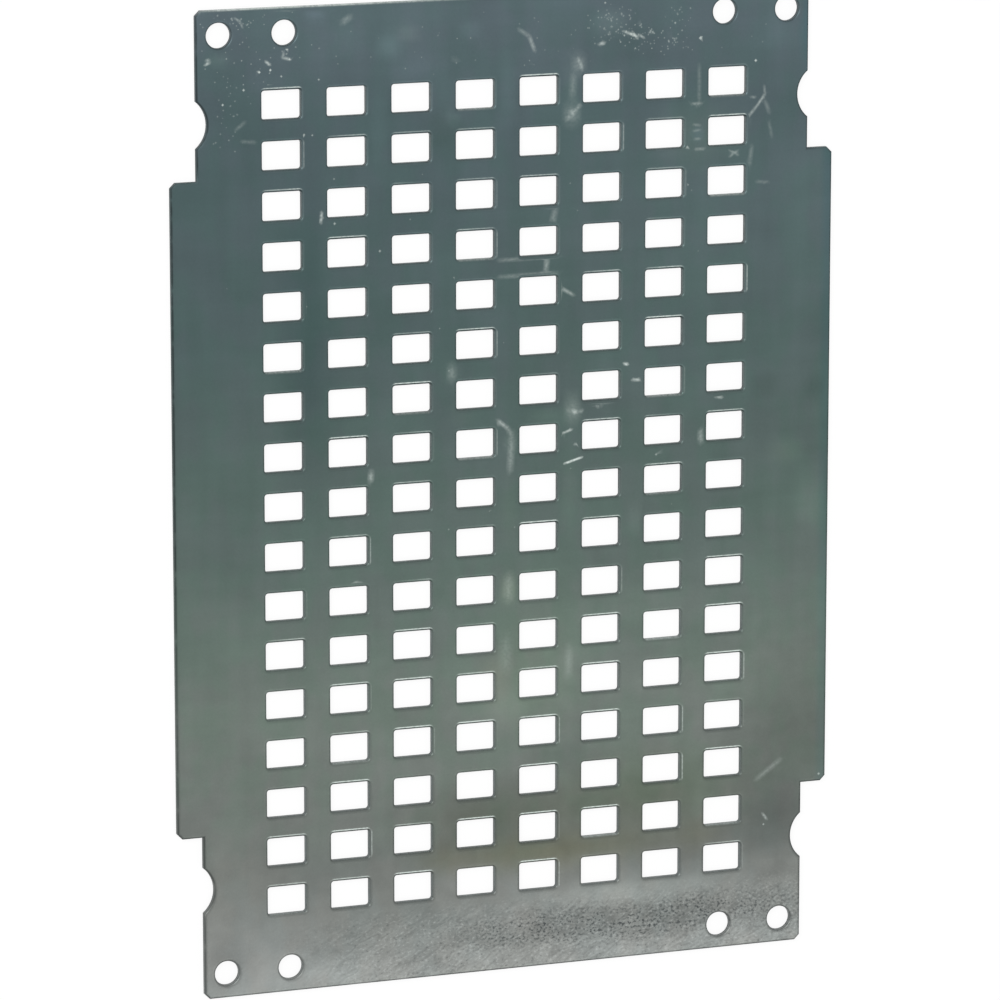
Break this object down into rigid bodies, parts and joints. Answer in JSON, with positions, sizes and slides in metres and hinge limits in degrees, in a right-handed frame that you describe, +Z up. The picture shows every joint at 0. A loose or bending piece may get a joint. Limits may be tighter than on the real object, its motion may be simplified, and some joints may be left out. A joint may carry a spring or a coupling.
{
  "type": "perforated mounting plate",
  "caption": "Flat steel plate punched in a close grid of rectangular windows, with round fixing holes in its corners and narrower, notched end tabs, for mounting parts inside a cabinet.",
  "frame": {"origin": "middle of the underside of the plate, which lies flat", "axes": "+X across the plate, +Y along its length, +Z up through its thickness, out of the front face"},
  "size_m": [0.208, 0.297, 0.002],
  "materials": {
    "zinc_coated_steel": "dull zinc-coated sheet steel, mottled and lightly scratched"
  },
  "bodies": {
    "root": {"mounting_plate": "zinc_coated_steel"}
  },
  "joints": []
}
